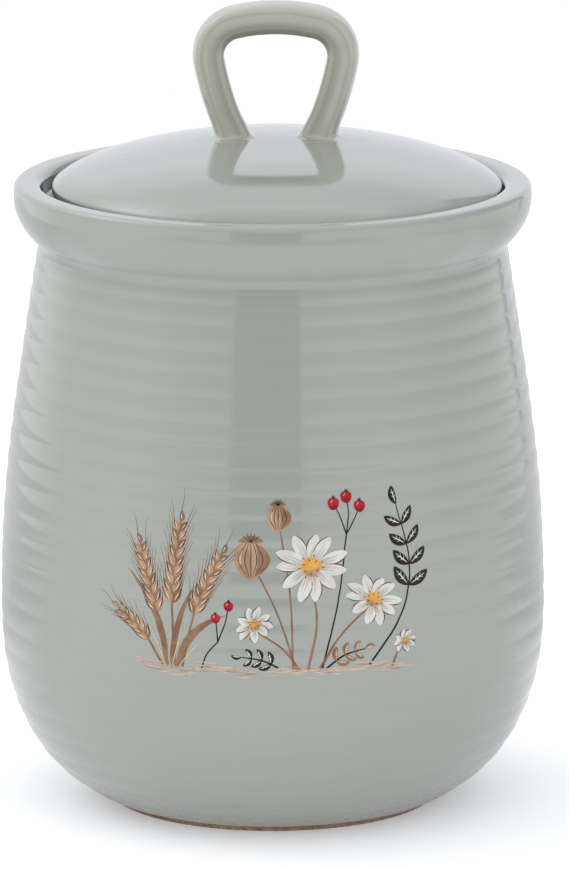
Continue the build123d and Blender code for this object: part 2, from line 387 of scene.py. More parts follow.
def strap_outline():
    """Closed outline: local X points out of the loop, local Y across the strap. Second value: ridge."""
    face_x, face_y = STRAP_THICK / 2 - FACE_CROWN, FACE_WIDTH / 2
    flute_y = STRAP_DEPTH / 2 - FLUTE_DEPTH
    out_x, in_x = STRAP_THICK / 2 - FLUTE_OUT, STRAP_THICK / 2 - FLUTE_IN
    corners = [
        (face_x, -face_y), (face_x, face_y), (out_x, flute_y), (in_x, flute_y),
        (-face_x, face_y), (-face_x, -face_y), (in_x, -flute_y), (out_x, -flute_y),
    ]
    rises = (-FACE_CROWN, -EDGE_ROUND, FLUTE_DEPTH - GLAZE_FILLS, -EDGE_ROUND) * 2
    points, ridge = [], []
    for i, rise in enumerate(rises):
        arc = bulge(corners[i], corners[(i + 1) % 8], rise)
        points.append(arc)
        share = np.linspace(0, 1, len(arc), endpoint=False)
        middle = 0.0 if rise > 0 else FACE_DIP
        ridge.append(np.interp(share, (0, 0.5, 1), (RIDGES[i], middle, RIDGES[(i + 1) % 8])))
    return np.concatenate(points), np.concatenate(ridge)


def loop_path():
    """Centre line of the strap from the left foot to the right one: x, z, turn from the grip's middle."""
    grip, leg = math.radians(GRIP_TURN), math.radians(LEG_TURN)
    side = [(0.0, HANDLE_TOP - STRAP_THICK / 2, 0.0)]

    def bend(radius, end, steps):
        x, z, start = side[-1]
        for turn in np.linspace(start, end, steps)[1:]:
            side.append((
                x + radius * (math.sin(turn) - math.sin(start)),
                z - radius * (math.cos(start) - math.cos(turn)),
                turn,
            ))

    bend(GRIP_BOW, grip, 17)
    bend(CORNER_R, leg, 33)
    drop = side[-1][1] - (DOME_RISE - FOOT_SINK)
    bend(LEG_BOW, math.acos(math.cos(leg) - drop / LEG_BOW), 57)
    side = np.array(side)
    mirrored = side[:0:-1] * (-1, 1, -1)
    return np.concatenate([mirrored, side])


def dome_height(radius):
    """Height of the dome over the land, and its slope, at a distance from the lid's axis."""
    dome, ahead = dome_outline(), 0.5
    height, height_ahead = (np.interp(r, dome[:, 0], dome[:, 1]) for r in (radius, radius + ahead))
    return height, (height_ahead - height) / ahead


def slip_rows(inner_row, outer_row):
    """Rows of points that carry the strap's surface in a hollow curve out on to the dome."""
    up = unit_rows(inner_row - outer_row)
    meet = outer_row.copy()
    for _ in range(12):
        height, _ = dome_height(np.linalg.norm(meet[:, :2] - (LID_SHIFT, 0), axis=1))
        meet -= up * ((meet[:, 2] - LAND_Z - height) / up[:, 2])[:, None]
    from_axis = meet[:, :2] - (LID_SHIFT, 0)
    radius = np.linalg.norm(from_axis, axis=1)
    _, slope = dome_height(radius)
    normal = unit_rows(np.column_stack([-slope[:, None] * from_axis / radius[:, None], np.ones_like(radius)]))
    round_foot = np.roll(meet, -1, axis=0) - np.roll(meet, 1, axis=0)
    away = unit_rows(np.cross(round_foot, normal))
    away *= np.sign(np.sum(away * (meet - meet.mean(axis=0)), axis=1))[:, None]
    angle = full_turn(len(meet))
    (few, deep), (many, shallow) = SLIP_WAVES
    edge = 1 + deep * np.sin(few * angle + 0.7) + shallow * np.sin(many * angle + radius[0])
    reach = SLIP_REACH * edge[:, None]
    rows = []
    for share in np.linspace(0, 1, SLIP_STEPS + 1):
        rows.append(
            (1 - share)**2 * (meet + reach * up)
            + 2 * share * (1 - share) * (meet + SLIP_HOLLOW * reach * (up + away))
            + share**2 * (meet + reach * away + SLIP_OVER * normal)
        )
    rows.append(meet + (reach + SLIP_UNDER) * away - SLIP_UNDER * normal)
    return rows


def strap_rows(path, outline):
    """The strap's outline, widened at the feet and twisted, at each point of the loop."""
    run = lengths_along(path[:, :2])
    spread = fade(1 - np.minimum(run, run[-1] - run) / FOOT_SPREAD, 0, 1)
    size = 1 + FOOT_WIDENING / STRAP_DEPTH * spread
    twist = np.radians(STRAP_TURN + STRAP_TWIST * (2 * run / run[-1] - 1))
    rows = []
    for (x, z, turn), grow, face in zip(path, size, twist):
        out, back = turned(np.array([math.sin(turn), 0, math.cos(turn)]), np.array([0, 1.0, 0]), face)
        centre = np.array([HANDLE_X + x, 0, LAND_Z + z])
        rows.append(centre + grow * (outline[:, :1] * out + outline[:, 1:] * back))
    return rows


def make_handle():
    """Strap and the slip at its feet. Its relief is its ridges; its inner part, the inside of the loop, gets
    painted shade.
    """
    path = loop_path()
    outline, ridge = strap_outline()
    rows = strap_rows(path, outline)

    def clear_of_dome(row):
        height, _ = dome_height(np.linalg.norm(row[:, :2] - (LID_SHIFT, 0), axis=1))
        return row[:, 2].min() > LAND_Z + height.max() + SLIP_START

    clear = [i for i, row in enumerate(rows) if clear_of_dome(row)]
    first, last = clear[0], clear[-1]
    left = slip_rows(rows[first + 1], rows[first])
    right = slip_rows(rows[last - 1], rows[last])
    rows = left[::-1] + rows[first:last + 1] + right
    count = len(outline)
    faces = []
    for row in range(0, (len(rows) - 1) * count, count):
        for k in range(count):
            a, b = row + k, row + (k + 1) % count
            faces.append([a, a + count, b + count, b])
    faces.append(list(range(count)))
    faces.append([(len(rows) - 1) * count + k for k in reversed(range(count))])
    piece = new_mesh("handle_loop", np.concatenate(rows) * MM, faces)
    on_strap = np.ones(len(rows))
    on_strap[:len(left)] = np.linspace(0, 1, len(left))
    on_strap[-len(right):] = np.linspace(1, 0, len(right))
    store(piece, "relief", np.outer(on_strap, ridge))
    # Painted shade on the inside of the loop, deepest under the grip and lighter down the legs
    inner_face = np.clip((INNER_FROM - outline[:, 0]) / (INNER_FROM + STRAP_THICK / 2), 0, 1)
    down_leg = np.clip((np.abs(np.degrees(path[first:last + 1, 2])) - LEGS_FROM) / LEGS_FADE, 0, 1)
    under_grip = np.pad(1 - LEGS_LIGHTER * down_leg, (len(left), len(right)), mode="edge")
    store(piece, "inner", np.outer(under_grip, inner_face))
    return piece


# Print: a meadow of wheat, daisies, leaves and berries, drawn flat (along and up the wall) and then laid on
# the rings as thin layers of enamel

# Two tones of each ink, which mottle into each other
INK_TONES = {
    "umber": ((0.215, 0.118, 0.068), (0.30, 0.175, 0.105)),
    "tan": ((0.36, 0.225, 0.14), (0.47, 0.31, 0.20)),
    "wheat": ((0.60, 0.43, 0.28), (0.68, 0.52, 0.36)),
    "cream": ((0.62, 0.60, 0.56), (0.70, 0.685, 0.65)),
    "shade": ((0.47, 0.41, 0.34), (0.53, 0.46, 0.385)),
    "ochre": ((0.64, 0.29, 0.045), (0.74, 0.40, 0.09)),
    "red": ((0.35, 0.012, 0.022), (0.44, 0.02, 0.03)),
    "wine": ((0.19, 0.008, 0.014), (0.24, 0.01, 0.018)),
    "charcoal": ((0.008, 0.007, 0.007), (0.022, 0.019, 0.018)),
    "blush": ((0.50, 0.40, 0.32), (0.58, 0.46, 0.37)),
}
WALL_TURNS = np.radians(-90 + np.arange(-64, 64.5, 0.5))  # the front of the wall
WALL_RADII, WALL_HEIGHTS, _ = wall_rows(WALL_TURNS)


def on_wall(flat, lift):
    """Points on the wall for flat ones (along, up), lifted off the glaze."""
    turn = flat[:, 0] / PRINT_R - math.pi / 2
    place = (turn - WALL_TURNS[0]) / (WALL_TURNS[1] - WALL_TURNS[0])
    column = np.clip(place.astype(int), 0, len(WALL_TURNS) - 2)
    share = place - column
    radius = np.empty(len(flat))
    for k in np.unique(column):
        here = column == k
        near, far = (np.interp(flat[here, 1], WALL_HEIGHTS[:, c], WALL_RADII[:, c]) for c in (k, k + 1))
        radius[here] = near + (far - near) * share[here]
    radius = radius + lift
    return np.stack([radius * np.cos(turn), radius * np.sin(turn), flat[:, 1]], axis=-1)


class Ink:
    """One colour of the print: the flat facets laid so far, with the layer of each."""

    def __init__(self):
        self.points, self.layers, self.faces, self.count = [], [], [], 0

    def lay(self, points, faces, layer):
        self.points.append(np.asarray(points, float))
        self.layers.append(np.full(len(points), float(layer)))
        self.faces.extend([self.count + i for i in face] for face in faces)
        self.count += len(points)


inks = {name: Ink() for name in INK_TONES}


def curve_through(points, step=0.45):
    """Smooth open curve through a few flat points."""
    points = np.array(points, float)
    if len(points) == 2:
        return line(points[0], points[1], step)
    return spline(points, points[1] - points[0], points[-1] - points[-2], step)


def stroke(ink, layer, points, widths):
    """Brush stroke along a curve, with its width at even steps along it."""
    path = curve_through(points)
    run = lengths_along(path)
    width = np.interp(run / run[-1], np.linspace(0, 1, len(widths)), widths)
    way = unit_rows(np.gradient(path, axis=0))
    side = np.stack([-way[:, 1], way[:, 0]], axis=-1) * width[:, None] / 2
    rows = np.stack([path - side, path, path + side], axis=1).reshape(-1, 2)
    faces = []
    for k in range(len(path) - 1):
        a, b = 3 * k, 3 * k + 3
        faces += [[a, b, b + 1, a + 1], [a + 1, b + 1, b + 2, a + 2]]
    inks[ink].lay(rows, faces, layer)


def inside_of(points, outline):
    """True for each flat point that lies inside a closed outline."""
    x, y = points[:, :1], points[:, 1:]
    ax, ay = outline[:, 0], outline[:, 1]
    bx, by = np.roll(ax, -1), np.roll(ay, -1)
    crosses = ((ay > y) != (by > y)) & (x < (bx - ax) * (y - ay) / (by - ay + 1e-12) + ax)
    return crosses.sum(axis=1) % 2 == 1


def fill(ink, layer, outline):
    """Filled patch inside a closed outline, in facets fine enough to follow the rings."""
    closed = np.concatenate([outline, outline[:1]])
    length = lengths_along(closed)[-1]
    edge = at_length(closed, np.linspace(0, length, max(8, int(length / GRAIN)) + 1)[:-1])
    low, high = edge.min(axis=0), edge.max(axis=0)
    across, up = (np.arange(low[k] + GRAIN / 2, high[k], GRAIN) for k in (0, 1))
    grid = np.stack(np.meshgrid(across, up), axis=-1).reshape(-1, 2)
    grid = grid[inside_of(grid, edge)]
    if len(grid):
        gap = np.min(np.linalg.norm(grid[:, None] - edge[None], axis=2), axis=1)
        grid = grid[gap > 0.4 * GRAIN]
    points = [Vector(p) for p in np.concatenate([edge, grid])]
    found, _, faces, _, _, _ = delaunay_2d_cdt(points, [], [list(range(len(edge)))], 1, 1e-5)
    inks[ink].lay([(p.x, p.y) for p in found], faces, layer)


def blob(centre, size, turn, wobble, start):
    """Rounded outline, a little uneven as if drawn with a brush."""
    angle = full_turn(56)
    reach = 1 + wobble * (0.6 * np.sin(3 * angle + start) + 0.4 * np.sin(5 * angle + 2.3 * start))
    x, y = turned(size[0] * reach * np.cos(angle), size[1] * reach * np.sin(angle), math.radians(turn))
    return np.stack([centre[0] + x, centre[1] + y], axis=-1)


def leaf(base, tip, width, bend, fullest=0.5, blunt=0.75):
    """Pointed outline from base to tip, bent aside in the middle and fullest part of the way up."""
    base, tip = np.array((base, tip), float)
    way = tip - base
    across = np.array([-way[1], way[0]]) / np.linalg.norm(way)
    share = np.linspace(0, 1, 22)
    middle = base + share[:, None] * way + (bend * 4 * share * (1 - share))[:, None] * across
    power = math.log(0.5) / math.log(fullest)
    side = (width / 2 * np.sin(math.pi * share**power) ** blunt)[:, None] * across
    return np.concatenate([middle + side, (middle - side)[-2:0:-1]])


def polar(centre, angle, reach):
    angle = math.radians(angle)
    return np.array(centre) + reach * np.array([math.cos(angle), math.sin(angle)])


def heading_at(path, behind, ahead):
    """Direction of a path in degrees, between two lengths along it."""
    way = at_length(path, ahead) - at_length(path, behind)
    return math.degrees(math.atan2(way[1], way[0]))


def ear_of_wheat(points, grains, size, ears_ink=("tan", "umber")):
    """Stalk, then paired grains up its last part, each with a light stroke, and fine beards."""
    path = curve_through(points, 0.3)
    stroke("umber", 0, points, (0.75, 0.6, 0.45))
    end, apart = lengths_along(path)[-1], size * 0.52
    for k in range(grains + 1):
        at = end - grains * apart + k * apart
        here = at_length(path, at)
        heading = heading_at(path, at - 0.6, min(at + 0.6, end))
        long = size * (1 - 0.35 * k / grains)
        for side in (1, -1):
            at_tip = k == grains
            if at_tip and side < 0:
                continue
            spread, aside = (0, 0.0) if at_tip else (side * 30, 0.35)
            way = heading + spread
            root = polar(here, heading + 90 * side, aside)
            tip = polar(root, way, long)
            grain = leaf(root, tip, 0.5 * long, -0.3 * side, 0.42)
            fill(ears_ink[(k + (side > 0)) % 2], 1 + (side > 0), grain)
            stroke("wheat", 3, (polar(root, way, 0.5), polar(root, way, 0.75 * long)), (0.15, 0.5, 0.1))
            edge = (polar(root, way - 12 * side, 0.4), polar(root, way + 9 * side, 0.62 * long), tip)
            stroke("charcoal", 3, edge, (0.1, 0.24, 0.14))
            beard = polar(tip, heading + 0.6 * spread, size * (1.25 + 0.2 * math.sin(3 * k + side)))
            stroke("umber", 0, (tip, (tip + beard) / 2 + 0.25 * side, beard), (0.24, 0.16, 0.07))


def daisy(centre, reach, petals, squash, lean, start):
    """Open flower seen a little from the side: pale petals with fine lines, and a dotted heart."""
    middle, heart = (0, 0), 0.27 * reach

    def place(points):
        x, y = np.array(points, float).T
        x, y = turned(x, y * squash, math.radians(lean))
        return np.stack([centre[0] + x, centre[1] + y], axis=-1)

    for k in range(petals):
        angle = start + 360 * k / petals + 5 * math.sin(2.1 * k)
        long = reach * (1 + 0.07 * math.sin(1.7 * k + start))
        petal = leaf(middle, polar(middle, angle, long), 3.7 * reach / petals, 0.5 * math.sin(k), 0.62, 0.62)
        fill("cream", 1 + k % 2, place(petal))
        for offset, share, width in ((-9, 0.66, 0.55), (4, 0.78, 0.4), (13, 0.55, 0.45)):
            low = polar(middle, angle + offset, 0.25 * long)
            high = polar(middle, angle + 0.5 * offset, share * long)
            stroke("shade", 3, place([low, high]), (width, 0.6 * width, 0.08))
        rim = petal[8:21] if k % 3 else petal[22:34]
        stroke("charcoal", 3, place(rim[::3]), (0.08, 0.26, 0.1))
    fill("ochre", 4, place(blob(middle, (heart, heart), 0, 0.06, start)))
    shaded = leaf((-0.9 * heart, -0.25 * heart), (0.9 * heart, -0.25 * heart), 0.75 * heart, -0.45 * heart)
    fill("tan", 5, place(shaded))
    for k in range(13):
        angle = start + 360 * k / 13
        near, far = (0.62, 0.86) if k % 2 else (1.08, 1.32)
        dot = [polar(middle, angle, near * heart), polar(middle, angle + 3, far * heart)]
        stroke("charcoal", 6, place(dot), (0.2, 0.42, 0.2))


def sprig(points, leaves, size, ink="charcoal", vein="cream", first=0.28):
    """Stem with pairs of leaves from a share of its length on, each with pale veins."""
    path = curve_through(points, 0.3)
    stroke("charcoal", 0, points, (0.6, 0.5, 0.3))
    end = lengths_along(path)[-1]
    for k in range(leaves):
        at = end * (first + (1 - first) * k / (leaves - 1))
        here = at_length(path, at)
        heading = heading_at(path, at - 0.8, at)
        grow = size * (1 - 0.3 * k / leaves)
        for side in (1, -1):
            at_tip = k == leaves - 1
            if at_tip and side < 0:
                continue
            way = heading if at_tip else heading + side * 48
            fill(ink, 1 + (side > 0), leaf(here, polar(here, way, grow), 0.42 * grow, 0.4 * side, 0.5))
            midrib = (polar(here, way, 0.15 * grow), polar(here, way + 2 * side, 0.8 * grow))
            stroke(vein, 3, midrib, (0.16, 0.34, 0.1))
            for step in (0.35, 0.55):
                rib = polar(here, way, step * grow)
                for slant in (42, -42):
                    stroke(vein, 3, (rib, polar(rib, way + slant, 0.17 * grow)), (0.2, 0.14, 0.06))


def around(centre, size):
    """Places points round a centre, by their distances from it in sizes."""
    return lambda across, up: (centre[0] + across * size, centre[1] + up * size)


def berries(root, fruits, size):
    """Thin stalks that end in round red fruits."""
    for k, (x, y) in enumerate(fruits):
        spot = around((x, y), size)
        middle = ((root[0] + x) / 2 + 0.8 * math.sin(k), (root[1] + y) / 2 + 0.8)
        stroke("charcoal", 0, (root, middle, (x, y)), (0.42, 0.34, 0.3))
        fill("red", 2, blob((x, y), (size, size * 1.05), 20 * k, 0.05, k))
        fill("wine", 3, leaf(spot(-0.75, -0.35), spot(0.8, -0.2), 0.7 * size, -0.42 * size))
        stroke("cream", 4, (spot(-0.45, 0.2), spot(-0.15, 0.6)), (0.15, 0.42, 0.15))
        for angle in (60, 90, 120):
            stroke("charcoal", 4, (spot(0, 0.8), polar(spot(0, 0.8), angle, 0.55 * size)), (0.3, 0.1))


def seed_head(base, centre, size):
    """Ribbed round pod with a small crown."""
    x, y = centre
    spot = around(centre, size)
    stroke("umber", 0, (base, ((base[0] + x) / 2 + 1.2, (base[1] + y) / 2), centre), (0.6, 0.5, 0.45))
    fill("tan", 1, blob(centre, (size, 1.12 * size), 0, 0.04, x))
    fill("umber", 2, leaf(spot(0.25, -1), spot(0.3, 1), 0.75 * size, -0.5 * size))
    for k in (-2, -1, 0, 1, 2):
        stroke("charcoal", 3, (spot(0.12 * k, -1), spot(0.36 * k, 0), spot(0.14 * k, 1)), (0.08, 0.2, 0.1))
    stroke("wheat", 3, (spot(-0.62, -0.3), spot(-0.66, 0.15), spot(-0.5, 0.55)), (0.2, 0.75, 0.2))
    fill("umber", 4, leaf(spot(-0.75, 1.1), spot(0.75, 1.1), 0.42 * size, 0.12 * size))
    for angle in (40, 65, 90, 115, 140):
        stroke("charcoal", 5, (spot(0, 1.05), polar(spot(0, 1), angle, 0.62 * size)), (0.2, 0.2, 0.1))


def ground(rng):
    """Short flat strokes of straw under the plants."""
    for low, high, count in ((-38, -6, 44), (-1, 37, 40)):
        for k in range(count):
            x = low + (high - low) * (k + 0.8 * rng.random()) / count
            y = 46.6 + 0.825 * rng.normal() + 0.8 * math.sin(0.3 * x)
            reach, rise = 1.2 + 2.6 * rng.random(), 0.7 * rng.normal()
            ink = ("blush", "blush", "tan", "blush", "wheat")[k % 5]
            middle = (x, y + 0.18 * rng.normal())
            straw = ((x - reach, y - 0.25 * rise), middle, (x + reach, y + 0.25 * rise))
            stroke(ink, k % 2, straw, (0.1, 0.3 + 0.35 * rng.random(), 0.1))


def draw_meadow():
    ground(np.random.default_rng(11))
    ear_of_wheat(((-29.5, 47), (-33, 62), (-38.5, 80)), 8, 4.6)
    ear_of_wheat(((-27.5, 47), (-28.5, 66), (-26.5, 87)), 9, 4.8, ("umber", "tan"))
    ear_of_wheat(((-25.5, 47), (-21.5, 64), (-14.5, 79)), 8, 4.5)
    ear_of_wheat(((-31, 47), (-37.5, 56), (-45, 61.5)), 6, 3.9, ("umber", "tan"))
    blades = (
        ((-27, 46.5), (-13, 62), 2.3, 3.2),
        ((-30, 46.5), (-42, 73), 2.0, -3.0),
        ((-28.5, 46.5), (-22, 70), 1.8, 1.6),
    )
    for base, tip, width, bend in blades:
        fill("umber", 0, leaf(base, tip, width, bend, 0.35))
        middle = ((base[0] + tip[0]) / 2 - 0.1 * bend, (base[1] + tip[1]) / 2 + 0.5)
        stroke("wheat", 3, (base, middle), (0.1, 0.4, 0.1))
    stems = (
        ((9, 46.5), (11.5, 60), (9.5, 74)), ((12, 46.5), (18, 56), (26.5, 64)),
        ((7, 46.5), (3, 52), (-4.5, 57.5)), ((33, 46.5), (34.5, 50), (36, 54)),
    )
    for stem in stems:
        stroke("umber", 0, stem, (0.8, 0.6, 0.5))
    seed_head((6, 46.5), (-6.5, 77.5), 4.6)
    seed_head((5, 46.5), (1.0, 89.0), 3.2)
    daisy((10, 75.5), 10.2, 11, 0.94, 12, 8)
    daisy((27.5, 65.5), 8.4, 10, 0.82, -24, 20)
    daisy((-5.5, 59.5), 5.6, 9, 0.85, 30, 5)
    daisy((37, 53), 3.6, 8, 0.9, 0, 12)
    sprig(((26, 47), (35.5, 60), (38.5, 76), (35, 91)), 5, 7.2, first=0.52)
    sprig(((14, 47), (19, 50.5), (25, 52)), 4, 4.0, "umber", "wheat")
    sprig(((2, 47), (-3, 49.5), (-9, 50.5)), 4, 3.8)
    berries((20, 84), ((16.5, 92.5), (20.2, 94.2), (24, 91.5)), 1.65)
    stroke("charcoal", 0, ((13, 47), (17.5, 66), (20, 84)), (0.5, 0.42, 0.4))
    berries((-15.5, 54.5), ((-16.2, 61), (-12.6, 64.5)), 1.35)
    stroke("charcoal", 0, ((-20, 47), (-18.5, 51), (-15.5, 54.5)), (0.45, 0.4, 0.35))


def make_print():
    """One piece for each ink."""
    draw_meadow()
    pieces = {}
    for name, ink in inks.items():
        flat, layers = np.concatenate(ink.points), np.concatenate(ink.layers)
        points = on_wall(flat + PRINT_SHIFT, INK_REST + INK_STEP * layers)
        piece = new_mesh("print_" + name, points * MM, ink.faces)
        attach(piece, "jar")
        pieces[name] = piece
    return pieces


jar = make_jar()
foot = make_foot()
lid = make_lid()
handle = make_handle()
for piece, body, node, slot in (
    (jar, "jar", "jar", "body_glaze"),
    (foot, "jar", "jar", "bare_clay"),
    (lid, "lid", "lid", "lid_glaze"),
    (handle, "lid", "handle", "handle_glaze"),
):
    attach(piece, body)
    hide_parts(node)


# Nodes: each function adds to a tree and returns an output, which the next one takes as a value

def feed(tree, sockets, values):
    """Gives each named or numbered input a plain value or another node's output."""
    for name, value in values.items():
        if isinstance(value, bpy.types.NodeSocket):
            tree.links.new(value, sockets[name])
        else:
            sockets[name].default_value = value


def add(tree, kind, values, output, **settings):
    node = tree.nodes.new(kind)
    for name, value in settings.items():
        setattr(node, name, value)
    feed(tree, node.inputs, values)
    return node.outputs[output]


def maths(tree, operation, *values, clamp=False):
    return add(tree, "ShaderNodeMath", dict(enumerate(values)), 0, operation=operation, use_clamp=clamp)


def times(tree, product, *values):
    for value in values:
        product = maths(tree, "MULTIPLY", product, value)
    return product


def texture_place(tree, output="Object"):
    return add(tree, "ShaderNodeTexCoord", {}, output)


def axes(tree, place):
    """X, Y and Z of a place."""
    return tuple(add(tree, "ShaderNodeSeparateXYZ", {0: place}, "X").node.outputs)


def noise(tree, scale, detail):
    values = {"Scale": scale, "Detail": detail, "Vector": texture_place(tree)}
    return add(tree, "ShaderNodeTexNoise", values, "Fac")


def attribute(tree, name):
    return add(tree, "ShaderNodeAttribute", {}, "Fac", attribute_name=name)


def mix(tree, share, first, second):
    """Blend of two colours."""
    return add(tree, "ShaderNodeMix", {"Factor": share, "A": first, "B": second}, "Result", data_type="RGBA")


def change(tree, value, low, high, start=0.0, end=1.0):
    """Goes from start at low to end at high, with a soft change between them."""
    values = {"Value": value, "From Min": low, "From Max": high, "To Min": start, "To Max": end}
    return add(tree, "ShaderNodeMapRange", values, "Result", interpolation_type="SMOOTHSTEP")


def ramp(tree, value, stops):
    """Colour read from a row of (position, colour) stops."""
    colour = add(tree, "ShaderNodeValToRGB", {"Fac": value}, "Color")
    elements = colour.node.color_ramp.elements
    while len(elements) < len(stops):
        elements.new(0.5)
    for element, (position, tone) in zip(elements, stops):
        element.position = position
        element.color = (*tone, 1)
    return colour


# Materials

def new_material(name, values):
    """Material, its node tree, and its principled shader with the given inputs."""
    material = bpy.data.materials.new(name)
    material.use_nodes = True
    shader = material.node_tree.nodes["Principled BSDF"]
    feed(material.node_tree, shader.inputs, values)
    return material, material.node_tree, shader


SAGE = (0.306, 0.327, 0.295)
STRAP_SAGE = (0.415, 0.42, 0.357)
# Darker tones: on ridges where the glaze runs thin, and as painted shade on the inner parts
OLIVE = (0.20, 0.196, 0.150)
UMBER = (0.10, 0.092, 0.075)
MOTTLE = 0.025  # how far the glaze's tone strays to each side


def glaze(name, colour, other, ridge_share=0.0, shade_share=0.0):
    """Gloss glaze with faint mottling, another tone where the glaze is thin on ridges, and that tone as
    painted shade on the piece's inner part.
    """
    gloss = {"Roughness": 0.13, "IOR": 1.6, "Coat Weight": 1.0, "Coat Roughness": 0.03}
    material, tree, shader = new_material(name, gloss)
    darker, lighter = ((*[c * level for c in colour], 1) for level in (1 - MOTTLE, 1 + MOTTLE))
    tone = mix(tree, noise(tree, scale=28.0, detail=3.0), darker, lighter)
    on_ridges = times(tree, attribute(tree, "relief"), ridge_share)
    # The inner part takes the other tone as painted shade
    share = maths(tree, "MULTIPLY_ADD", attribute(tree, "inner"), shade_share, on_ridges, clamp=True)
    tree.links.new(mix(tree, share, tone, (*other, 1)), shader.inputs["Base Color"])
    return material


def bare_clay():
    """Unglazed stoneware: matt, with fine grain and darker specks."""
    material, tree, shader = new_material("bare_clay", {"Roughness": 0.85})
    grain = noise(tree, scale=900.0, detail=4.0)
    tone = ramp(tree, grain, ((0.3, (0.20, 0.125, 0.085)), (0.62, (0.42, 0.30, 0.225))))
    bump = add(tree, "ShaderNodeBump", {"Strength": 0.5, "Distance": 0.0002, "Height": grain}, "Normal")
    feed(tree, shader.inputs, {"Base Color": tone, "Normal": bump})
    return material


def enamel(name, dark, light):
    """Fired-on ink: a thin coat, less glossy than the glaze, over brush-like mottling."""
    gloss = {"Roughness": 0.25, "Specular IOR Level": 0.12, "Coat Weight": 0.12, "Coat Roughness": 0.06}
    material, tree, shader = new_material("enamel_" + name, gloss)
    tone = ramp(tree, noise(tree, scale=260.0, detail=3.0), ((0.38, dark), (0.6, light)))
    tree.links.new(tone, shader.inputs["Base Color"])
    return material


# The body takes a touch of umber on its ridges, and umber as painted shade in the gallery
jar.data.materials.append(glaze("body_glaze", SAGE, UMBER, 0.01, 0.85))
lid.data.materials.append(glaze("lid_glaze", SAGE, OLIVE))
# The handle takes olive where its glaze is thin on the ridges, and olive as painted shade inside the loop
handle.data.materials.append(glaze("handle_glaze", STRAP_SAGE, OLIVE, 0.35, 0.95))
foot.data.materials.append(bare_clay())
for ink_name, piece in make_print().items():
    piece.data.materials.append(enamel(ink_name, *INK_TONES[ink_name]))


# Studio: a pale table top inside a tent of soft white panels, which the world stands for

TABLE = ((-0.62, -0.80), (0.60, 1.00))  # metres: corners of the table top
TABLE_TILES = 24
TABLE_WHITE, TABLE_FRONT, TABLE_BACK = 0.88, 0.50, 0.68  # painted shade: darker in the front, and just behind the jar
TABLE_FRONT_FADE, TABLE_BACK_FADE = (-0.80, -0.40), (0.06, 0.20)
TABLE_FAR, TABLE_FAR_FADE = 1.1, (0.22, 0.40)  # painted light: brighter again at the far end
TABLE_GLOW, GLOW_FADE = 0.28, (-0.13, 0.05)  # painted light: the table glows in front of the jar for all but camera rays, standing for light bounced up
# Added for the camera alone, so that the table shows white round the shadow, and from every side
FLOOR_LIFT, FLOOR_LIFT_BACK, FLOOR_LIFT_FRONT = 0.29, 0.58, 0.6
LIFT_TINT = (0.965, 0.97, 1.0)
PAPER_TINT = (0.98, 0.985, 1.0)
TENT_TINT = (0.995, 0.993, 1.0)
BACK_TINT = (0.945, 0.98, 1.04)

# Radiance of the tent's walls by azimuth in degrees: 0 faces the camera, which looks in through a gap
TENT_WALLS = (
    (-180, 0.8), (-160, 0.8), (-149, 0.88), (-142, 1.0), (-135, 1.02), (-124, 1.02), (-116, 0.98),
    (-104, 0.95), (-93, 1.0), (-63, 1.2), (-34, 0.98), (-18, 0.9), (16, 0.94), (31, 1.08), (50, 1.15),
    (72, 0.95), (83, 0.83), (100, 0.72), (121, 0.57), (138, 0.55), (142, 0.4), (145, 0.4), (180, 0.4),
)
GAP_AT, GAP_HALF, GAP_SOFT, GAP_LIGHT = -2.8, 15.4, 1.2, 0.5
GAP_TOP = (12, 22)  # elevations over which the gap closes
# How much of each direction is the back wall, and its radiance by elevation
BEHIND = ((-180, 1), (-160, 1), (-145, 0), (145, 0), (147, 1), (180, 1))
BACK_WALL = ((-90, 0.85), (12, 0.86), (20, 0.94), (26, 1.05), (37, 1.02), (44, 1.0), (60, 1.0))
# The far end of the table top and the foot of the walls catch more light: by azimuth, round one elevation
GLOW_AT, GLOW_WIDE = -6.0, 8.0
FOOT_GLOW = (
    (-180, 0), (-140, 0), (-100, 0.1), (-60, 0.22), (-16, 0.25), (16, 0.25), (85, 0.22), (100, 0.35),
    (140, 0.4), (145, 0), (180, 0),
)
# A broad window of light above the left shoulder: where it is, and how wide, by azimuth and by elevation
WINDOW_ROUND, WINDOW_UP, WINDOW = (-108.0, 30.0), (47.0, 13.0), 1.7
# Radiance of the tent's roof by elevation in degrees, with a brighter panel in its middle
ROOF_FROM, ROOF_SOFT = 40.0, 3
TENT_ROOF = ((40, 0.88), (50, 0.98), (57, 1.12), (64, 1.4), (70, 1.08), (90, 1.08))


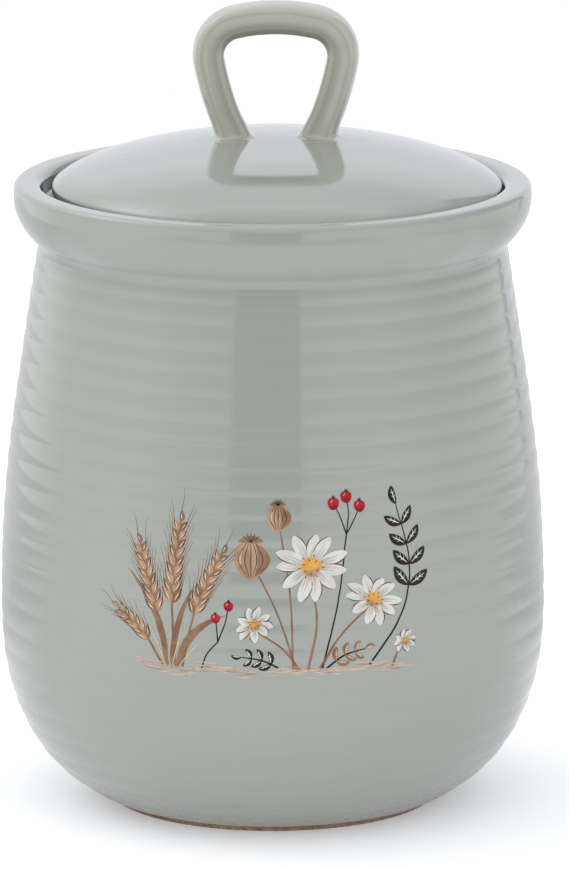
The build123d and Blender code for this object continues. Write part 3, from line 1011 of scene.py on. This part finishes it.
def make_floor():
    (left, front), (right, back) = TABLE
    marks = TABLE_TILES + 1
    points = [(x, y, 0) for y in np.linspace(front, back, marks) for x in np.linspace(left, right, marks)]
    corners = [row * marks + k for row in range(TABLE_TILES) for k in range(TABLE_TILES)]
    piece = new_mesh("studio_table", points, [[k, k + 1, k + marks + 1, k + marks] for k in corners])
    material, tree, shader = new_material("studio_table", {"Roughness": 0.9, "Specular IOR Level": 0.0})
    _, y, _ = axes(tree, texture_place(tree))
    # The table's colour carries painted shade in front and just behind the jar, and painted light at the far
    # end
    front_shade = change(tree, y, *TABLE_FRONT_FADE, TABLE_FRONT, 1.0)
    back_shade = change(tree, y, *TABLE_BACK_FADE, 1.0, TABLE_BACK)
    far_light = change(tree, y, *TABLE_FAR_FADE, 1.0, TABLE_FAR)
    paper = times(tree, front_shade, back_shade, far_light, TABLE_WHITE)
    channels = {k: times(tree, paper, tint) for k, tint in enumerate(PAPER_TINT)}
    tree.links.new(add(tree, "ShaderNodeCombineColor", channels, 0), shader.inputs["Base Color"])
    camera_ray = add(tree, "ShaderNodeLightPath", {}, "Is Camera Ray")
    near_lift = change(tree, y, *TABLE_BACK_FADE, FLOOR_LIFT, FLOOR_LIFT_BACK)
    front_lift = change(tree, y, *TABLE_FRONT_FADE, FLOOR_LIFT_FRONT, 0.0)
    for_camera = times(tree, camera_ray, maths(tree, "ADD", near_lift, front_lift))
    # Painted light: a glow from the table in front of the jar, seen by all rays but the camera's
    other_ray = maths(tree, "SUBTRACT", 1.0, camera_ray)
    for_others = times(tree, other_ray, change(tree, y, *GLOW_FADE, TABLE_GLOW, 0.0))
    strength = maths(tree, "ADD", for_camera, for_others)
    lift = add(tree, "ShaderNodeEmission", {"Color": (*LIFT_TINT, 1), "Strength": strength}, 0)
    total = add(tree, "ShaderNodeAddShader", {0: shader.outputs[0], 1: lift}, 0)
    tree.links.new(total, tree.nodes["Material Output"].inputs["Surface"])
    piece.data.materials.append(material)


def share_of(tree, value, start, span):
    """How many spans a value is from start."""
    return maths(tree, "DIVIDE", maths(tree, "SUBTRACT", value, start), span)


def hump(tree, value, centre, spread):
    """Bell curve: 1 at centre, falling off over spread."""
    away = share_of(tree, value, centre, spread)
    return maths(tree, "EXPONENT", times(tree, away, away, -1.0))


def profile(tree, value, start, span, table):
    """Radiance read from a table of angles."""
    brightest = max(radiance for _, radiance in table)
    stops = [((angle - start) / span, [radiance / brightest] * 3) for angle, radiance in table]
    return times(tree, ramp(tree, share_of(tree, value, start, span), stops), brightest)


def blend(tree, first, second, share):
    """First value where share is 0, second where it is 1."""
    kept = times(tree, first, maths(tree, "SUBTRACT", 1.0, share))
    return maths(tree, "ADD", kept, times(tree, second, share))


def make_world():
    world = bpy.data.worlds.new("light_tent")
    bpy.context.scene.world = world
    world.use_nodes = True
    tree = world.node_tree
    x, y, z = axes(tree, texture_place(tree, "Generated"))
    front = times(tree, y, -1.0)
    azimuth = times(tree, maths(tree, "ARCTAN2", x, front), 180 / math.pi)
    elevation = times(tree, maths(tree, "ARCSINE", z), 180 / math.pi)

    def round_about(table):
        return profile(tree, azimuth, -180.0, 360.0, table)

    behind = round_about(BEHIND)
    glow = times(tree, round_about(FOOT_GLOW), hump(tree, elevation, GLOW_AT, GLOW_WIDE))
    walls = maths(tree, "ADD", round_about(TENT_WALLS), glow)
    walls = blend(tree, walls, profile(tree, elevation, -90.0, 180.0, BACK_WALL), behind)
    off_centre = maths(tree, "ABSOLUTE", maths(tree, "SUBTRACT", azimuth, GAP_AT))
    beside = change(tree, off_centre, GAP_HALF - GAP_SOFT, GAP_HALF + GAP_SOFT)
    low = blend(tree, GAP_LIGHT, walls, maths(tree, "MAXIMUM", beside, change(tree, elevation, *GAP_TOP)))
    high = profile(tree, elevation, ROOF_FROM, 90 - ROOF_FROM, TENT_ROOF)
    tent_light = blend(tree, low, high, change(tree, elevation, ROOF_FROM - ROOF_SOFT, ROOF_FROM + ROOF_SOFT))
    window = times(tree, hump(tree, azimuth, *WINDOW_ROUND), hump(tree, elevation, *WINDOW_UP))
    light = maths(tree, "ADD", tent_light, times(tree, window, WINDOW))
    tint = mix(tree, behind, (*TENT_TINT, 1), (*BACK_TINT, 1))
    tent = tree.nodes["Background"]
    feed(tree, tent.inputs, {"Color": tint, "Strength": light})
    white = add(tree, "ShaderNodeBackground", {"Color": (1, 1, 1, 1)}, 0)
    camera_ray = add(tree, "ShaderNodeLightPath", {}, "Is Camera Ray")
    shown = add(tree, "ShaderNodeMixShader", {0: camera_ray, 1: tent.outputs[0], 2: white}, 0)
    tree.links.new(shown, tree.nodes["World Output"].inputs["Surface"])


# Camera, in metres: a long lens a little above the lid

CAMERA_PLACE = Vector((0, -2.2, 0.577))
CAMERA_AIM = Vector((0.0033, 0, 0.1027))
CAMERA_SEES = 20
IMAGE_HEIGHT = 869  # pixels
FOCAL_PIXELS = 8034.7
SENSOR = 36.0


def make_camera():
    data = bpy.data.cameras.new("camera")
    data.sensor_fit = "VERTICAL"
    data.sensor_height = SENSOR
    data.lens = FOCAL_PIXELS * SENSOR / IMAGE_HEIGHT
    data.clip_end = CAMERA_SEES
    camera = bpy.data.objects.new("camera", data)
    camera.location = CAMERA_PLACE
    camera.rotation_euler = (CAMERA_AIM - CAMERA_PLACE).to_track_quat("-Z", "Y").to_euler()
    bpy.context.collection.objects.link(camera)
    bpy.context.scene.camera = camera


make_floor()
make_world()
make_camera()
bpy.context.scene.view_settings.view_transform = "Standard"
